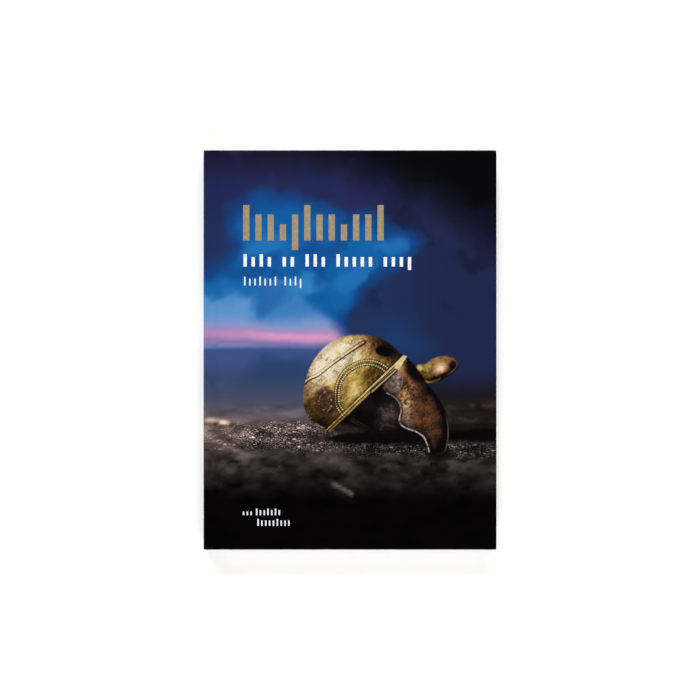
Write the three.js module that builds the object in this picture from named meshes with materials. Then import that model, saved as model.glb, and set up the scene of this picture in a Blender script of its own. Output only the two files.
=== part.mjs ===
// A hardback book, lying closed on its back cover.
// Millimetres. +X runs from the spine to the fore edge, +Y from the tail to the head,
// and +Z up through the front cover. The origin is the middle of the underside.

import * as THREE from "three";

// Driving dimensions of the case, which is the boards and the paper that covers them.
const COVER_WIDTH = 198;
const COVER_HEIGHT = 270;
const BOARD_THICKNESS = 3;
const BOARD_CORNER_RADIUS = 1;
const BOARD_EDGE_ROUNDING = 0.5;
const SPINE_BOARD_THICKNESS = 2.5;
const SPINE_CORNER_RADIUS = 1;
const GROOVE_WIDTH = 8;
const GROOVE_DEPTH = 1.5;
const GROOVE_STEPS = 12;
const JOINT_THICKNESS = 0.8;
const JOINT_SET_IN = 0.3;
const JOINT_END_GAP = 0.15;

// Driving dimensions of the leaves, the endpapers and the bands.
const BLOCK_THICKNESS = 19.5;
const BLOCK_SPINE_RADIUS = 1;
const ENDPAPER_THICKNESS = 0.25;
const LAYER_GAP = 0.125;
const SQUARE = 3.5;
const SPINE_HOLLOW = 1;
const BAND_RADIUS = 1.2;
const BAND_SET_IN = 0.2;
const CURVE_STEPS = 4;

// Levels above the underside, from the back cover up to the front cover.
const ENDPAPER_STEP = ENDPAPER_THICKNESS + LAYER_GAP;
const BACK_PASTEDOWN_Z = BOARD_THICKNESS + LAYER_GAP;
const BACK_FLYLEAF_Z = BACK_PASTEDOWN_Z + ENDPAPER_STEP;
const BLOCK_Z = BACK_FLYLEAF_Z + ENDPAPER_STEP;
const FRONT_FLYLEAF_Z = BLOCK_Z + BLOCK_THICKNESS + LAYER_GAP;
const FRONT_PASTEDOWN_Z = FRONT_FLYLEAF_Z + ENDPAPER_STEP;
const FRONT_BOARD_Z = FRONT_PASTEDOWN_Z + ENDPAPER_STEP;
const BOOK_THICKNESS = FRONT_BOARD_Z + BOARD_THICKNESS;

// Places along X, from the spine to the fore edge.
const SPINE_X = -COVER_WIDTH / 2;
const SPINE_INNER_X = SPINE_X + SPINE_BOARD_THICKNESS;
const BOARD_X = SPINE_INNER_X + GROOVE_WIDTH;
const FORE_EDGE_X = COVER_WIDTH / 2;
const BLOCK_X = SPINE_INNER_X + SPINE_HOLLOW;
const LEAF_EDGE_X = FORE_EDGE_X - SQUARE;
const FLYLEAF_X = BLOCK_X + 0.5;
const PASTEDOWN_X = BOARD_X + 0.5;
const LEAF_HEIGHT = COVER_HEIGHT - 2 * SQUARE;

const printedPaper = new THREE.MeshStandardMaterial({ color: 0x141f42, roughness: 0.38 });
const leafPaper = new THREE.MeshStandardMaterial({ color: 0xe9e5da, roughness: 0.85 });
const endPaper = new THREE.MeshStandardMaterial({ color: 0x1b2440, roughness: 0.8 });
const bandCloth = new THREE.MeshStandardMaterial({ color: 0xd8cfb8, roughness: 0.9 });

// A rectangle with rounded corners. Its low side can have a radius of its own.
function roundedRectangle(x0, y0, x1, y1, highRadius, lowRadius = highRadius) {
  const quarter = Math.PI / 2;
  const shape = new THREE.Shape();
  shape.absarc(x1 - highRadius, y1 - highRadius, highRadius, 0, quarter);
  shape.absarc(x0 + lowRadius, y1 - lowRadius, lowRadius, quarter, 2 * quarter);
  shape.absarc(x0 + lowRadius, y0 + lowRadius, lowRadius, 2 * quarter, 3 * quarter);
  shape.absarc(x1 - highRadius, y0 + highRadius, highRadius, 3 * quarter, 4 * quarter);
  shape.closePath();
  return shape;
}

// A flat sheet or board that lies at a level, with its edges rounded over where it has a rounding.
function plate(name, material, outline, level, thickness, rounding = 0) {
  const geometry = new THREE.ExtrudeGeometry(outline, {
    depth: thickness - 2 * rounding,
    curveSegments: CURVE_STEPS,
    bevelEnabled: rounding > 0,
    bevelThickness: rounding,
    bevelSize: rounding,
    bevelOffset: -rounding,
    bevelSegments: 2,
  });
  const mesh = new THREE.Mesh(geometry, material);
  mesh.name = name;
  mesh.position.z = level + rounding;
  return mesh;
}

// A bar that runs along Y, from a profile whose x is X and whose y is Z.
function barAlongY(name, material, profile, length) {
  const geometry = new THREE.ExtrudeGeometry(profile, {
    depth: length,
    curveSegments: CURVE_STEPS,
    bevelEnabled: false,
  });
  const mesh = new THREE.Mesh(geometry, material);
  mesh.name = name;
  mesh.rotation.x = Math.PI / 2;
  mesh.position.y = length / 2;
  return mesh;
}

function board(name, level) {
  const outline = roundedRectangle(
    BOARD_X,
    -COVER_HEIGHT / 2,
    FORE_EDGE_X,
    COVER_HEIGHT / 2,
    BOARD_CORNER_RADIUS,
  );
  return plate(name, printedPaper, outline, level, BOARD_THICKNESS, BOARD_EDGE_ROUNDING);
}

function spineBoard() {
  const innerRadius = BOARD_EDGE_ROUNDING;
  const profile = roundedRectangle(
    SPINE_X,
    0,
    SPINE_INNER_X,
    BOOK_THICKNESS,
    innerRadius,
    SPINE_CORNER_RADIUS,
  );
  return barAlongY("spine_board", printedPaper, profile, COVER_HEIGHT);
}

// The covering paper between the spine board and a cover board dips into a groove.
// The profile is drawn for the front cover, and mirrored top to bottom for the back.
function joint(name, isFront) {
  const x0 = SPINE_INNER_X + JOINT_END_GAP;
  const x1 = BOARD_X - JOINT_END_GAP;
  const outerLevel = (step) => {
    const dip = (GROOVE_DEPTH * (1 - Math.cos((2 * Math.PI * step) / GROOVE_STEPS))) / 2;
    return JOINT_SET_IN + dip;
  };
  const point = (step, depth) => {
    const x = x0 + ((x1 - x0) * step) / GROOVE_STEPS;
    return new THREE.Vector2(x, isFront ? BOOK_THICKNESS - depth : depth);
  };
  const points = [];
  for (let step = 0; step <= GROOVE_STEPS; step++) {
    points.push(point(step, outerLevel(step)));
  }
  for (let step = GROOVE_STEPS; step >= 0; step--) {
    points.push(point(step, outerLevel(step) + JOINT_THICKNESS));
  }
  return barAlongY(name, printedPaper, new THREE.Shape(points), COVER_HEIGHT);
}

function textBlock() {
  const top = BLOCK_Z + BLOCK_THICKNESS;
  const foreEdgeRadius = 0.2;
  const profile = roundedRectangle(
    BLOCK_X,
    BLOCK_Z,
    LEAF_EDGE_X,
    top,
    foreEdgeRadius,
    BLOCK_SPINE_RADIUS,
  );
  return barAlongY("text_block", leafPaper, profile, LEAF_HEIGHT);
}

// Half of an endpaper: a sheet as tall as the leaves, from a place on X to their fore edge.
function endpaper(name, startX, level) {
  const leafCornerRadius = 0.5;
  const outline = roundedRectangle(
    startX,
    -LEAF_HEIGHT / 2,
    LEAF_EDGE_X,
    LEAF_HEIGHT / 2,
    leafCornerRadius,
  );
  return plate(name, endPaper, outline, level, ENDPAPER_THICKNESS);
}

// A half-round bead of cloth that stands on the leaves at one end of the block's spine.
function band(name, end) {
  const halfRound = new THREE.Shape();
  halfRound.absarc(0, 0, BAND_RADIUS, 0, Math.PI);
  halfRound.closePath();
  const bead = plate(name, bandCloth, halfRound, BLOCK_Z, BLOCK_THICKNESS);
  bead.rotation.z = end < 0 ? Math.PI : 0;
  bead.position.x = BLOCK_X + BAND_RADIUS + BAND_SET_IN;
  bead.position.y = end * (LEAF_HEIGHT / 2 + LAYER_GAP);
  return bead;
}

const frontCover = new THREE.Group();
frontCover.add(
  board("front_board", FRONT_BOARD_Z),
  joint("front_joint", true),
  endpaper("front_pastedown", PASTEDOWN_X, FRONT_PASTEDOWN_Z),
);

const backCover = new THREE.Group();
backCover.add(
  board("back_board", 0),
  joint("back_joint", false),
  endpaper("back_pastedown", PASTEDOWN_X, BACK_PASTEDOWN_Z),
  spineBoard(),
);

const leaves = new THREE.Group();
leaves.add(
  textBlock(),
  endpaper("front_flyleaf", FLYLEAF_X, FRONT_FLYLEAF_Z),
  endpaper("back_flyleaf", FLYLEAF_X, BACK_FLYLEAF_Z),
  band("headband", 1),
  band("tailband", -1),
);

const book = new THREE.Group();
book.add(frontCover, backCover, leaves);

export default book;
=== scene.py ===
"""The looks of a hardback book that lies on its back cover, on a plain pale floor.

The case is covered in one sheet of printed paper. Its picture is painted here by formulas, in
millimetres on the flat sheet: x from the spine to the fore edge and y from the tail to the head,
both 0 at the middle of the book. Each point of the case stores its place on that sheet, so the
picture wraps round the edges and doesn't slide when the cover opens.
"""

import math

import bpy
import numpy as np
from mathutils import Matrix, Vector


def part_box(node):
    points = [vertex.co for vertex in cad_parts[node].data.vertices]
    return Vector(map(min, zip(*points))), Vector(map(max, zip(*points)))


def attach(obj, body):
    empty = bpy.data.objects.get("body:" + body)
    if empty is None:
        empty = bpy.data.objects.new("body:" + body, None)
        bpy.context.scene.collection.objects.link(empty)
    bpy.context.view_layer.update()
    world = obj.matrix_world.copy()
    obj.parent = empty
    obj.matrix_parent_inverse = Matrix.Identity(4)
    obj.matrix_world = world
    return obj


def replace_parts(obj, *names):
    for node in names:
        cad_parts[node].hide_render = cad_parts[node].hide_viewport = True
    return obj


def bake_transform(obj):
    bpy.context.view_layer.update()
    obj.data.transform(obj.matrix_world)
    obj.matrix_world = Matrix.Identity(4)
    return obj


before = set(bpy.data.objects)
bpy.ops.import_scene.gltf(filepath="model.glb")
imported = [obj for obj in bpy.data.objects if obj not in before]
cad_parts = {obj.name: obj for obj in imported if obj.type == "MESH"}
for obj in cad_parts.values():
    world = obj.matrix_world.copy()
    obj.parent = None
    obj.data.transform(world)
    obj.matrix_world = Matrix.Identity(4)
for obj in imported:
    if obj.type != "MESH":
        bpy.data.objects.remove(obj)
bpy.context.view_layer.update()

MM = 0.001
SEED = 20

# ---------------------------------------------------------------- places, from the frame


def box_mm(node):
    """A CAD node's lowest and highest corners, in millimetres."""
    low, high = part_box(node)
    return np.array(low) / MM, np.array(high) / MM


FRONT_LOW, FRONT_HIGH = box_mm("front_board")
BACK_LOW, BACK_HIGH = box_mm("back_board")
SPINE_LOW, SPINE_HIGH = box_mm("spine_board")
GROOVE_LOW, GROOVE_HIGH = box_mm("front_joint")
BLOCK_LOW, BLOCK_HIGH = box_mm("text_block")
FRONT_PASTEDOWN = box_mm("front_pastedown")
BACK_PASTEDOWN = box_mm("back_pastedown")
FRONT_FLYLEAF = box_mm("front_flyleaf")
BACK_FLYLEAF = box_mm("back_flyleaf")
HEADBAND = box_mm("headband")
TAILBAND = box_mm("tailband")

TOP = FRONT_HIGH[2]
SPINE_X = SPINE_LOW[0]
FORE_EDGE_X = FRONT_HIGH[0]
HEAD_Y = FRONT_HIGH[1]
TAIL_Y = FRONT_LOW[1]

# Sizes in millimetres.
INK_THICKNESS = 0.06
EDGE_ROUNDING = 0.5
SPINE_ROUNDING = 1.0
GROOVE_DIP = 0.9
GROOVE_PAPER = 0.6
FOLD_THICKNESS = 0.16
THREAD_PITCH = 0.55
LEAF_COUNT = 144
LEAVES_PER_SECTION = 8

# Steps between the points of a mesh, in millimetres. They are finest in the box round the helmet,
# which is given by its lowest x and y and its highest.
HELMET_BOX = (-34.0, -72.0, 76.0, 14.0)
HELMET_STEP = 0.47
PICTURE_STEP = 1.7
CASE_STEP = 2.5
ENDPAPER_STEP = 6.0

# The flat top of the front cover: its lowest x and y, then its highest.
TOP_FACE = (
    FRONT_LOW[0] + EDGE_ROUNDING,
    TAIL_Y + EDGE_ROUNDING,
    FORE_EDGE_X - EDGE_ROUNDING,
    HEAD_Y - EDGE_ROUNDING,
)


# ---------------------------------------------------------------- painting by formulas


def smooth(low, high, value):
    """0 below low, 1 above high, and a soft step between them. It also takes high below low."""
    t = np.clip((value - low) / (high - low), 0.0, 1.0)
    return t * t * (3.0 - 2.0 * t)


def rgb(red, green, blue):
    """An ink colour from its 0 to 255 values."""
    return np.array([red, green, blue]) / 255.0


def linear(shares):
    """Screen values from 0 to 1 as linear light."""
    return np.where(shares <= 0.04045, shares / 12.92, ((shares + 0.055) / 1.055) ** 2.4)


def mix(under, over, cover):
    """One ink laid over another. cover is 0 to 1 at each point. A fourth band under it fades out."""
    over = np.asarray(over)
    if under.shape[-1] > over.shape[-1]:
        over = np.concatenate([over, np.zeros(over.shape[:-1] + (1,))], axis=-1)
    cover = np.asarray(cover)[..., None]
    return under * (1.0 - cover) + over * cover


def lay(picture, inks):
    """Lays inks on a picture in turn, each given by its 0 to 255 values and its cover."""
    for colour, cover in inks:
        picture = mix(picture, rgb(*colour), cover)
    return picture


def mix_value(under, over, cover):
    """One value faded into another."""
    return under + (over - under) * cover


def value_noise(x, y, seed):
    """Smooth noise from -1 to 1 with one cell per unit. Large primes scramble each cell's number."""
    column = np.floor(x).astype(np.int64)
    row = np.floor(y).astype(np.int64)
    u = x - column
    v = y - row
    u = u * u * u * (u * (6.0 * u - 15.0) + 10.0)
    v = v * v * v * (v * (6.0 * v - 15.0) + 10.0)

    def corner(i, j):
        mixed = ((column + i) * 374761393 + (row + j) * 668265263 + seed * 974634777) & 0xFFFFFFFF
        mixed = ((mixed ^ (mixed >> 13)) * 1274126177) & 0xFFFFFFFF
        return ((mixed ^ (mixed >> 16)) & 0xFFFF) / 32767.5 - 1.0

    low = corner(0, 0) * (1.0 - u) + corner(1, 0) * u
    high = corner(0, 1) * (1.0 - u) + corner(1, 1) * u
    return low * (1.0 - v) + high * v


def noise(x, y, size, octaves, seed):
    """Several layers of noise, each turned a little, the widest with cells of the given size."""
    total = np.zeros_like(x)
    strength = 1.0
    whole = 0.0
    for octave in range(octaves):
        x, y = 0.8 * x + 0.6 * y, 0.8 * y - 0.6 * x
        total = total + strength * value_noise(x / size, y / size, seed + octave)
        whole += strength
        strength *= 0.5
        size *= 0.5
    return total / whole


def fleck(x, y, size, share, seed):
    """Fine uneven specks, closer together in places, over about this share of the surface."""
    specks = noise(x, y, size, 2, seed) + 0.9 * noise(x, y, 5.0 * size, 3, seed + 7)
    low = 0.52 - 1.3 * share
    return smooth(low, low + 0.5, specks)


def oval(x, y, middle, radii, tilt=0.0):
    """Distance from the middle of an oval, 1 on its outline. tilt is in degrees."""
    turn = math.radians(tilt)
    dx = x - middle[0]
    dy = y - middle[1]
    along = (dx * math.cos(turn) + dy * math.sin(turn)) / radii[0]
    across = (dy * math.cos(turn) - dx * math.sin(turn)) / radii[1]
    return np.sqrt(along * along + across * across)


def spot(x, y, middle, radii, tilt=0.0, outer=1.3, inner=0.2, ragged=0.0):
    """A soft oval patch that fades in from outer to inner, measured in its radii."""
    return smooth(outer, inner, oval(x, y, middle, radii, tilt) + ragged)


def spots(x, y, table):
    """The sum of soft oval patches, each a gain and what spot() takes."""
    return sum(gain * spot(x, y, *shape) for gain, *shape in table)


def curve_through(points, steps=8, closed=False):
    """A smooth curve through a few points, as a fine polyline."""
    points = np.array(points, dtype=float)
    if closed:
        before, start, end, after = (np.roll(points, shift, axis=0) for shift in (1, 0, -1, -2))
    else:
        padded = np.vstack([2 * points[0] - points[1], points, 2 * points[-1] - points[-2]])
        before, start, end, after = padded[:-3], padded[1:-2], padded[2:-1], padded[3:]
    t = (np.arange(steps) / steps)[None, :, None]
    a, b, c, d = (p[:, None, :] for p in (before, start, end, after))
    line = 0.5 * (2 * b + (c - a) * t + (2 * a - 5 * b + 4 * c - d) * t**2 + (3 * b - a - 3 * c + d) * t**3)
    line = line.reshape(-1, 2)
    return line if closed else np.vstack([line, points[-1]])


def distance_along(x, y, line):
    """Distance from a polyline, and how far along the line the nearest point lies."""
    nearest = np.full(x.shape, np.inf)
    along = np.zeros(x.shape)
    passed = 0.0
    for start, end in zip(line[:-1], line[1:]):
        step = end - start
        length = float(np.hypot(*step))
        t = np.clip(((x - start[0]) * step[0] + (y - start[1]) * step[1]) / length**2, 0.0, 1.0)
        distance = np.hypot(x - start[0] - t * step[0], y - start[1] - t * step[1])
        closer = distance < nearest
        nearest = np.where(closer, distance, nearest)
        along = np.where(closer, passed + t * length, along)
        passed += length
    return nearest, along


def distance_from(x, y, points, steps=8):
    """Distance from a smooth curve through a few points."""
    return distance_along(x, y, curve_through(points, steps))[0]


def depth_inside(x, y, outline):
    """How far inside a closed outline a point lies, negative outside."""
    ring = np.vstack([outline, outline[:1]])
    distance, _ = distance_along(x, y, ring)
    inside = np.zeros(x.shape, dtype=bool)
    for start, end in zip(ring[:-1], ring[1:]):
        if start[1] == end[1]:
            continue
        crosses = (start[1] > y) != (end[1] > y)
        at = start[0] + (y - start[1]) * (end[0] - start[0]) / (end[1] - start[1])
        inside ^= crosses & (x < at)
    return np.where(inside, distance, -distance)


def ramp(position, stops):
    """A colour for each position from a list of (position, 0 to 255 values), in rising order."""
    places = [place for place, _ in stops]
    colours = np.array([colour for _, colour in stops]) / 255.0
    return np.stack([np.interp(position, places, colours[:, band]) for band in range(3)], axis=-1)


# ---------------------------------------------------------------- sky

STREAK_Y = 9.6
SKY_OPENING = [
    (-84.0, 90.0), (-76.0, 101.0), (-57.0, 107.0), (-36.0, 104.0), (-14.0, 97.0), (7.0, 91.0), (27.0, 85.0),
    (48.0, 75.0), (42.0, 65.0), (31.0, 53.0), (15.0, 46.0), (5.0, 33.0), (-2.0, 22.0), (-10.0, 8.0),
    (-60.0, 0.0), (-112.0, 2.0), (-112.0, 50.0), (-92.0, 54.0), (-85.0, 62.0), (-80.0, 72.0), (-83.0, 81.0),
]
PALE_FOLDS = (
    ((-36.0, 42.0), (26.0, 11.0), 12.0, 0.75),
    ((4.0, 52.0), (18.0, 6.0), 30.0, 0.35),
    ((26.0, 71.0), (18.0, 7.0), 10.0, 0.35),
    ((-60.0, 70.0), (18.0, 9.0), 10.0, 0.45),
)


def paint_sky(x, y):
    """A stormy dusk: a blue opening in dark clouds, with a pink streak of light low on the left."""
    billow_x = 5.0 * noise(x, y, 28.0, 4, 11) + 4.0 * noise(x, y, 10.0, 3, 15)
    billow_y = 5.0 * noise(x, y, 26.0, 4, 23) + 4.0 * noise(x, y, 10.0, 3, 27)
    sx = x + billow_x
    sy = y + billow_y
    wisps = noise(sx, y + 1.6 * billow_y, 17.0, 4, 41)
    light_wisps = smooth(0.0, 0.5, wisps)
    dark_wisps = smooth(0.0, -0.5, wisps)

    # The dark clouds: violet-navy, and almost black in the top corner on the right.
    colour = lay(np.zeros(x.shape + (3,)) + rgb(34, 50, 94), [
        ((35, 42, 86), smooth(72.0, 104.0, sy)),
        ((27, 25, 50), smooth(108.0, 136.0, y + 0.5 * billow_y)),
        ((33, 41, 78), smooth(12.0, 66.0, sx)),
        ((50, 48, 98), 0.45 * light_wisps * smooth(60.0, 84.0, y)),
        ((24, 26, 54), 0.60 * dark_wisps * smooth(-10.0, 20.0, x) * smooth(20.0, 40.0, y)),
        ((7, 6, 10), smooth(92.0, 138.0, 0.45 * sx + 0.89 * sy + 9.0 * wisps)),
        ((29, 60, 112), 0.8 * spot(sx, sy, (34.0, 6.0), (32.0, 19.0), -20.0, 1.2)),
        ((34, 54, 100), 0.8 * smooth(24.0, -4.0, sx) * smooth(36.0, 0.0, y)),
        ((27, 25, 32), smooth(-10.0, -34.0, y + 0.3 * billow_y) * smooth(-10.0, 40.0, x)),
    ])

    # The opening, brighter in its folds and deeper towards its top.
    inside = depth_inside(sx, sy, curve_through(SKY_OPENING, steps=4, closed=True))
    core = smooth(1.0, 13.0, inside + 6.0 * wisps)
    colour = lay(colour, [
        ((20, 72, 138), 0.85 * smooth(-6.0, 4.0, inside)),
        ((17, 101, 173), 0.92 * core),
        ((20, 76, 144), 0.75 * core * dark_wisps),
        ((22, 66, 132), 0.60 * core * smooth(84.0, 104.0, sy)),
        ((20, 72, 136), 0.6 * spot(sx, sy, (-84.0, 54.0), (22.0, 8.0), -20.0, 1.2, 0.3)),
    ])
    for middle, radii, tilt, cover in PALE_FOLDS:
        fold = spot(sx, sy, middle, radii, tilt, 1.15, 0.3, -0.45 * wisps)
        colour = mix(colour, rgb(60, 143, 206), cover * fold)

    # Haze above the streak. The dark cloud cuts it off on a slant, with a violet edge.
    slant = sx + 0.95 * (y - 10.0)
    haze_end = smooth(-1.0, -14.0, slant) * smooth(-2.0, 6.0, y)
    puffs = 3.0 * noise(x, y, 6.0, 3, 43)
    far_haze = smooth(40.0, 32.0, sy + puffs - 4.0 * wisps) * haze_end
    lobe = spot(sx, sy + puffs, (-53.0, 37.0), (13.0, 8.0), 20.0, 1.2, 0.3)
    haze_edge = smooth(9.0, 1.0, np.abs(slant + 5.0)) * smooth(22.0, 14.0, y) * smooth(2.0, 8.0, y)
    colour = lay(colour, [
        ((30, 112, 182), 0.8 * smooth(52.0, 38.0, sy) * haze_end * smooth(-50.0, -66.0, sx)),
        ((100, 155, 212), 0.9 * far_haze * smooth(-56.0, -68.0, sx)),
        ((74, 138, 202), 0.8 * far_haze * smooth(-60.0, -48.0, sx)),
        ((40, 106, 174), 0.85 * lobe * haze_end),
        ((134, 156, 210), 0.9 * smooth(28.0, 16.0, y + 0.5 * billow_y) * haze_end),
        ((168, 156, 204), 0.8 * smooth(19.0, 12.0, y + 0.2 * billow_y) * haze_end),
        ((100, 88, 150), 0.65 * haze_edge),
    ])

    # The streak over its violet glow, and the slate band of far hills under it.
    streak_y = y - STREAK_Y + 0.18 * billow_y + 0.035 * (x + 50.0)
    streak_end = smooth(-3.0, -19.0, sx) * (0.55 + 0.40 * smooth(-96.0, -44.0, sx + 4.0 * puffs))
    violet = smooth(8.0, 2.6, np.abs(streak_y + 1.8)) * smooth(2.0, -12.0, sx)
    bank = spot(sx, sy - 3.0 * wisps, (-44.0, -13.0), (26.0, 11.0), 0.0, 1.3, 0.3)
    return lay(colour, [
        ((64, 84, 140), 0.95 * smooth(5.0, -1.0, y + 0.25 * billow_y) * smooth(14.0, -14.0, sx)),
        ((122, 104, 168), 0.72 * violet),
        ((226, 158, 202), smooth(5.8, 0.8, np.abs(streak_y)) * streak_end),
        ((55, 72, 101), 0.85 * smooth(-6.0, -20.0, y + 0.4 * billow_y) * smooth(6.0, -24.0, x)),
        ((38, 64, 108), 0.7 * bank),
        ((72, 96, 140), 0.35 * light_wisps * smooth(2.0, -8.0, y) * smooth(-24.0, -50.0, x)),
        ((80, 79, 100), 0.85 * smooth(-22.0, -36.0, y) * smooth(10.0, -30.0, x)),
    ])


# ---------------------------------------------------------------- ground

GROUND_EDGE_Y = -35.0
MOST_GRIT = 1.6


def paint_ground(x, y):
    """Dark gravel, out of focus far off and close up, and lit most of all at the left."""
    level = y + 2.5 * noise(x, y, 24.0, 3, 91)
    left = smooth(40.0, -24.0, x)
    right = 1.0 - left
    warm = smooth(-62.0, -92.0, x) * smooth(15.0, 4.0, np.abs(y + 55.0))
    colour = lay(np.zeros(x.shape + (3,)) + rgb(3, 1, 2), [
        ((30, 26, 26), smooth(-103.0, -86.0, level)),
        ((56, 49, 47), smooth(-84.0, -70.0, level)),
        ((120, 104, 100), smooth(-76.0, -54.0, level) * left),
        ((24, 19, 18), smooth(-65.0, -58.0, level) * right),
        ((100, 92, 102), smooth(-52.0, -43.0, level) * left),
        ((84, 79, 100), smooth(-42.0, -34.0, level) * left),
        ((36, 29, 29), smooth(-52.0, -46.0, level) * right),
        ((134, 112, 102), 0.7 * warm),
    ])

    near_patches = noise(x / 1.9, y, 6.0, 3, 95) * smooth(-62.0, -74.0, y)
    far_patches = noise(x / 3.0, y, 4.5, 3, 99) * smooth(-62.0, -56.0, y)
    left_streaks = noise(x / 2.4, y, 4.5, 3, 101) * smooth(-56.0, -74.0, x) * smooth(-47.0, -52.0, y)
    patches = 1.0 + 1.1 * near_patches + 0.35 * far_patches + 0.85 * left_streaks
    colour = colour * np.clip(patches, 0.15, None)[..., None]
    pale = smooth(0.15, 0.50, noise(x / 2.0, y, 4.5, 2, 97)) * smooth(-66.0, -73.0, y)
    ruddy = smooth(0.05, 0.5, noise(x / 1.4, y, 5.0, 3, 103)) * smooth(60.0, 70.0, x)
    return lay(colour, [
        ((104, 98, 92), 0.42 * pale * smooth(-94.0, -76.0, y)),
        ((84, 60, 56), 0.6 * ruddy * smooth(-52.0, -46.0, y) * smooth(-30.0, -38.0, y)),
    ])


def ground_grit(x, y):
    """How sharply the ground's stones show: in focus only in the middle distance."""
    level = y + 4.0 * noise(x, y, 18.0, 3, 107)
    behind = smooth(-69.0, -64.0, level) * smooth(-46.0, -52.0, level) * smooth(24.0, 4.0, x)
    behind = behind * (0.5 + 0.75 * smooth(-84.0, -60.0, x))
    before = smooth(-76.0, -69.0, level) * smooth(-58.0, -62.0, level) * smooth(-8.0, 10.0, x)
    return np.clip(behind + MOST_GRIT * before, 0.0, MOST_GRIT)


def paint_litter(picture, x, y):
    """Two bright pebbles out of focus at the left, and a pale twig close up."""
    twig, along = distance_along(x, y, np.array([(-13.0, -89.6), (1.0, -97.4)]))
    return lay(picture, [
        ((255, 222, 200), 0.75 * spot(x, y, (-94.0, -47.6), (5.0, 1.3), -6.0, 1.6)),
        ((255, 222, 200), spot(x, y, (-85.6, -48.9), (4.4, 1.9), -6.0, 1.6)),
        ((124, 116, 112), 0.75 * smooth(2.6, 0.4, twig) * smooth(-2.0, 4.0, along)),
        ((30, 26, 28), 0.5 * spot(x, y, (-6.0, -96.6), (6.0, 1.8), -30.0, 2.0, 0.6)),
    ])


def ground_cover(x, y):
    """Where the ground is: its far edge is soft, and lies a little higher on the right."""
    far_edge = GROUND_EDGE_Y + 0.02 * x + 1.2 * noise(x, y, 16.0, 3, 5)
    return smooth(2.5, -4.0, y - far_edge)


# ---------------------------------------------------------------- helmet

RIM_LOW = np.array([-12.6, -53.0])
RIM_HIGH = np.array([37.0, -5.6])
RIM_MIDDLE = (RIM_LOW + RIM_HIGH) / 2.0
RIM_TURN = math.atan2(*(RIM_HIGH - RIM_LOW)[::-1])
RIM_HALF_LENGTH = math.dist(RIM_LOW, RIM_HIGH) / 2.0
RIM_HALF_WIDTH = 1.1
BEAD_PITCH = 1.55
BOWL_HALF_WIDTH = 37.0
BOWL_DEPTH = 40.5
BOWL_SQUARENESS = 2.6
ARCH_MIDDLE = np.array([10.0, -31.0])
ARCH_SHRINK = 0.89
KEY_LIGHT = np.array([-0.50, 0.60, 0.625])
OUTLINE_BLUR = 0.35

BOWL_OUTLINE = [
    (36.6, -4.6), (30.2, 1.6), (22.8, 7.0), (14.6, 9.8), (5.3, 10.6), (-4.0, 9.2), (-13.3, 5.0),
    (-21.5, -2.6), (-26.8, -11.2), (-30.2, -21.1), (-31.6, -30.5), (-30.6, -39.6), (-27.0, -47.0),
    (-20.6, -52.4), (-13.6, -54.6),
]
RIB = [(-31.4, -22.6), (-27.4, -19.4), (-22.0, -17.0), (-16.4, -12.6), (-7.9, -6.2), (1.0, 0.0), (9.4, 5.2)]
ARCH = [
    (-4.4, -45.0), (-9.0, -38.0), (-9.8, -30.5), (-8.6, -22.4), (-4.2, -14.6), (2.4, -9.6),
    (9.6, -7.2), (16.6, -7.6), (23.0, -10.4), (25.6, -12.8),
]
FAR_GUARD_OUTLINE = [
    (38.0, -13.0), (43.6, -12.4), (46.2, -9.8), (51.0, -9.4), (55.0, -6.4), (60.0, -4.4), (66.0, -4.0),
    (71.4, -6.2), (73.6, -10.4), (70.6, -14.6), (65.0, -18.6), (59.0, -21.2), (53.6, -23.0),
    (49.0, -22.4), (44.0, -20.0), (38.0, -19.0),
]
CAVITY_OUTLINE = [
    (-11.0, -53.0), (4.0, -38.0), (18.0, -24.0), (34.0, -12.0), (44.0, -20.0), (42.0, -40.0),
    (48.0, -56.0), (45.0, -61.0), (26.0, -60.0), (12.0, -59.0), (0.0, -57.0),
]
CHEEK_INNER = [
    (53.6, -69.0), (51.8, -63.0), (49.4, -58.4), (44.6, -55.2), (39.0, -53.2), (34.6, -50.6), (33.4, -46.6),
    (34.4, -41.0), (33.4, -36.0), (30.0, -31.8), (24.8, -29.0),
]
CHEEK_OUTER = [
    (22.6, -25.0), (29.0, -15.0), (36.8, -5.8), (41.0, -7.6), (45.4, -12.6), (50.4, -20.0), (56.6, -28.4),
    (62.4, -37.0), (66.0, -46.0), (67.2, -55.0), (66.4, -63.0), (64.0, -69.6), (58.0, -71.4),
]
CHEEK_BACK_EDGE = CHEEK_OUTER[6:]
PEAK_OUTLINE = [(30.0, -12.0), (30.8, -8.8), (35.8, -3.6), (38.6, -4.2), (35.4, -9.4), (32.8, -13.6)]

# Metals: a colour for each tone, from the darkest to the brightest.
BRASS = [
    (0.00, (14, 9, 6)), (0.16, (48, 33, 14)), (0.32, (96, 72, 28)), (0.50, (158, 126, 62)),
    (0.68, (204, 172, 98)), (0.84, (234, 212, 152)), (1.00, (250, 238, 192)),
]
BRONZE = [
    (0.00, (10, 6, 6)), (0.20, (40, 26, 22)), (0.42, (86, 54, 38)), (0.62, (138, 92, 58)),
    (0.80, (184, 138, 96)), (1.00, (236, 214, 186)),
]
ROSY_METAL = [(0.0, (40, 22, 16)), (0.5, (170, 112, 78)), (1.0, (250, 210, 190))]
WARM_METAL = [(0.0, (18, 10, 6)), (0.35, (98, 58, 26)), (0.62, (176, 116, 50)), (1.0, (240, 196, 130))]
DUSTY_METAL = [(0.0, (30, 20, 14)), (0.4, (122, 96, 70)), (0.7, (196, 172, 140)), (1.0, (242, 229, 206))]
DARK_METAL = [(0.0, (6, 3, 4)), (0.3, (28, 20, 22)), (0.7, (84, 68, 72)), (1.0, (150, 130, 132))]


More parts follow.
